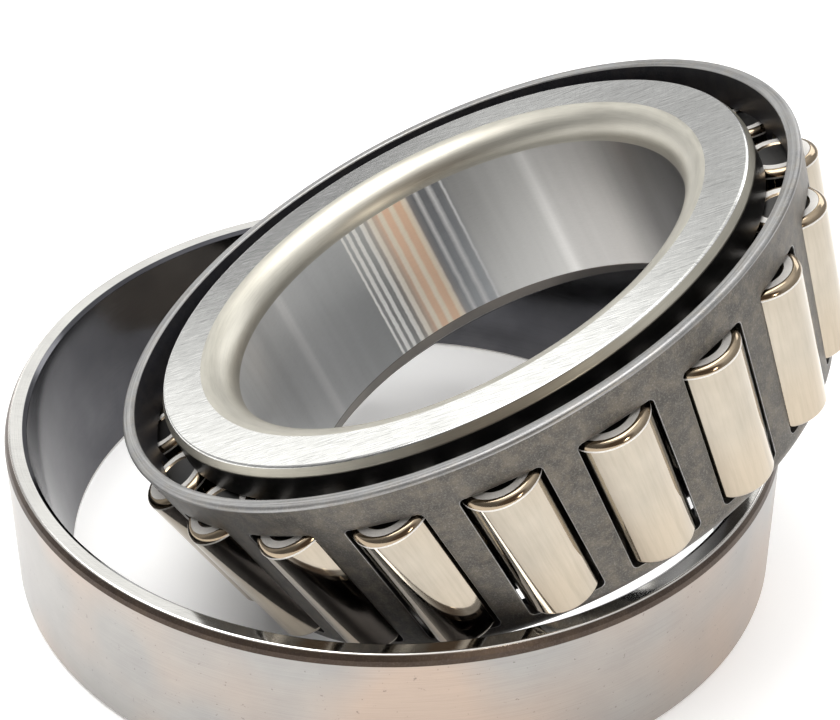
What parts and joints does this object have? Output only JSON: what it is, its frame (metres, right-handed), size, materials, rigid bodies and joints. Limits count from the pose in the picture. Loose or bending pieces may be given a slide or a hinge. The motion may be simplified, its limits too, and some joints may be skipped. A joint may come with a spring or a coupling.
{
  "type": "tapered roller bearing",
  "caption": "Separable tapered roller bearing: cone, pressed cage and conical rollers lying askew in the open cup; carries radial load and thrust one way.",
  "frame": {"origin": "centre of the cup's back face, on the surface that the cup lies on", "axes": "+Z along the cup's axis, from its back face to its open front face; the cone assembly's axis leans from +Z towards -X"},
  "size_m": [0.0872, 0.082, 0.0504],
  "materials": {
    "cup_steel": "satin ground",
    "cone_steel": "ground",
    "cage_steel": "matte phosphate on pressed steel",
    "roller_steel": "polished"
  },
  "bodies": {
    "cup": {"cup": "cup_steel"},
    "cage": {"cage": "cage_steel"},
    "cone": {"cone": "cone_steel"},
    "roller_01": {"roller_01": "roller_steel"},
    "roller_02": {"roller_02": "roller_steel"},
    "roller_03": {"roller_03": "roller_steel"},
    "roller_04": {"roller_04": "roller_steel"},
    "roller_05": {"roller_05": "roller_steel"},
    "roller_06": {"roller_06": "roller_steel"},
    "roller_07": {"roller_07": "roller_steel"},
    "roller_08": {"roller_08": "roller_steel"},
    "roller_09": {"roller_09": "roller_steel"},
    "roller_10": {"roller_10": "roller_steel"},
    "roller_11": {"roller_11": "roller_steel"},
    "roller_12": {"roller_12": "roller_steel"},
    "roller_13": {"roller_13": "roller_steel"},
    "roller_14": {"roller_14": "roller_steel"},
    "roller_15": {"roller_15": "roller_steel"},
    "roller_16": {"roller_16": "roller_steel"},
    "roller_17": {"roller_17": "roller_steel"},
    "roller_18": {"roller_18": "roller_steel"},
    "roller_19": {"roller_19": "roller_steel"},
    "roller_20": {"roller_20": "roller_steel"}
  },
  "joints": [
    {"name": "cone_assembly_lift", "type": "slide", "parent": "cup", "child": "cage", "axis": [0, 0, 1], "range_m": [0, 0.04]},
    {"name": "cone_spin", "type": "hinge", "parent": "cage", "child": "cone", "pos_m": [0.00545, 0, 0.03488], "axis": [-0.4289, 0, 0.9033], "continuous": true},
    {"name": "roller_01_spin", "type": "hinge", "parent": "cage", "child": "roller_01", "pos_m": [0.03991, 0.00743, 0.03733], "axis": [-0.262, 0.0409, 0.9642], "continuous": true},
    {"name": "roller_02_spin", "type": "hinge", "parent": "cage", "child": "roller_02", "pos_m": [0.03641, 0.01701, 0.03567], "axis": [-0.2812, 0.0935, 0.9551], "continuous": true},
    {"name": "roller_03_spin", "type": "hinge", "parent": "cage", "child": "roller_03", "pos_m": [0.03041, 0.02492, 0.03282], "axis": [-0.3142, 0.1371, 0.9394], "continuous": true},
    {"name": "roller_04_spin", "type": "hinge", "parent": "cage", "child": "roller_04", "pos_m": [0.0225, 0.0304, 0.02906], "axis": [-0.3577, 0.1672, 0.9188], "continuous": true},
    {"name": "roller_05_spin", "type": "hinge", "parent": "cage", "child": "roller_05", "pos_m": [0.01344, 0.0329, 0.02476], "axis": [-0.4075, 0.1809, 0.8951], "continuous": true},
    {"name": "roller_06_spin", "type": "hinge", "parent": "cage", "child": "roller_06", "pos_m": [0.00413, 0.03218, 0.02034], "axis": [-0.4587, 0.177, 0.8708], "continuous": true},
    {"name": "roller_07_spin", "type": "hinge", "parent": "cage", "child": "roller_07", "pos_m": [-0.00452, 0.02831, 0.01623], "axis": [-0.5063, 0.1557, 0.8482], "continuous": true},
    {"name": "roller_08_spin", "type": "hinge", "parent": "cage", "child": "roller_08", "pos_m": [-0.01167, 0.02166, 0.01284], "axis": [-0.5456, 0.1191, 0.8295], "continuous": true},
    {"name": "roller_09_spin", "type": "hinge", "parent": "cage", "child": "roller_09", "pos_m": [-0.01662, 0.0129, 0.01049], "axis": [-0.5728, 0.071, 0.8166], "continuous": true},
    {"name": "roller_10_spin", "type": "hinge", "parent": "cage", "child": "roller_10", "pos_m": [-0.01888, 0.00288, 0.00942], "axis": [-0.5852, 0.0158, 0.8107], "continuous": true},
    {"name": "roller_11_spin", "type": "hinge", "parent": "cage", "child": "roller_11", "pos_m": [-0.01822, -0.00743, 0.00973], "axis": [-0.5817, -0.0409, 0.8124], "continuous": true},
    {"name": "roller_12_spin", "type": "hinge", "parent": "cage", "child": "roller_12", "pos_m": [-0.01473, -0.01701, 0.01139], "axis": [-0.5624, -0.0935, 0.8215], "continuous": true},
    {"name": "roller_13_spin", "type": "hinge", "parent": "cage", "child": "roller_13", "pos_m": [-0.00873, -0.02492, 0.01423], "axis": [-0.5294, -0.1371, 0.8372], "continuous": true},
    {"name": "roller_14_spin", "type": "hinge", "parent": "cage", "child": "roller_14", "pos_m": [-0.00081, -0.0304, 0.01799], "axis": [-0.4859, -0.1672, 0.8579], "continuous": true},
    {"name": "roller_15_spin", "type": "hinge", "parent": "cage", "child": "roller_15", "pos_m": [0.00824, -0.0329, 0.02229], "axis": [-0.4361, -0.1809, 0.8815], "continuous": true},
    {"name": "roller_16_spin", "type": "hinge", "parent": "cage", "child": "roller_16", "pos_m": [0.01755, -0.03218, 0.02671], "axis": [-0.3849, -0.177, 0.9058], "continuous": true},
    {"name": "roller_17_spin", "type": "hinge", "parent": "cage", "child": "roller_17", "pos_m": [0.02621, -0.02831, 0.03082], "axis": [-0.3373, -0.1557, 0.9284], "continuous": true},
    {"name": "roller_18_spin", "type": "hinge", "parent": "cage", "child": "roller_18", "pos_m": [0.03335, -0.02166, 0.03422], "axis": [-0.298, -0.1191, 0.9471], "continuous": true},
    {"name": "roller_19_spin", "type": "hinge", "parent": "cage", "child": "roller_19", "pos_m": [0.0383, -0.0129, 0.03657], "axis": [-0.2708, -0.071, 0.96], "continuous": true},
    {"name": "roller_20_spin", "type": "hinge", "parent": "cage", "child": "roller_20", "pos_m": [0.04056, -0.00288, 0.03764], "axis": [-0.2584, -0.0158, 0.9659], "continuous": true}
  ],
  "couplings": [
    {"joint": "roller_01_spin", "follows": "cone_spin", "ratio": -7.4319},
    {"joint": "roller_02_spin", "follows": "cone_spin", "ratio": -7.4319},
    {"joint": "roller_03_spin", "follows": "cone_spin", "ratio": -7.4319},
    {"joint": "roller_04_spin", "follows": "cone_spin", "ratio": -7.4319},
    {"joint": "roller_05_spin", "follows": "cone_spin", "ratio": -7.4319},
    {"joint": "roller_06_spin", "follows": "cone_spin", "ratio": -7.4319},
    {"joint": "roller_07_spin", "follows": "cone_spin", "ratio": -7.4319},
    {"joint": "roller_08_spin", "follows": "cone_spin", "ratio": -7.4319},
    {"joint": "roller_09_spin", "follows": "cone_spin", "ratio": -7.4319},
    {"joint": "roller_10_spin", "follows": "cone_spin", "ratio": -7.4319},
    {"joint": "roller_11_spin", "follows": "cone_spin", "ratio": -7.4319},
    {"joint": "roller_12_spin", "follows": "cone_spin", "ratio": -7.4319},
    {"joint": "roller_13_spin", "follows": "cone_spin", "ratio": -7.4319},
    {"joint": "roller_14_spin", "follows": "cone_spin", "ratio": -7.4319},
    {"joint": "roller_15_spin", "follows": "cone_spin", "ratio": -7.4319},
    {"joint": "roller_16_spin", "follows": "cone_spin", "ratio": -7.4319},
    {"joint": "roller_17_spin", "follows": "cone_spin", "ratio": -7.4319},
    {"joint": "roller_18_spin", "follows": "cone_spin", "ratio": -7.4319},
    {"joint": "roller_19_spin", "follows": "cone_spin", "ratio": -7.4319},
    {"joint": "roller_20_spin", "follows": "cone_spin", "ratio": -7.4319}
  ]
}
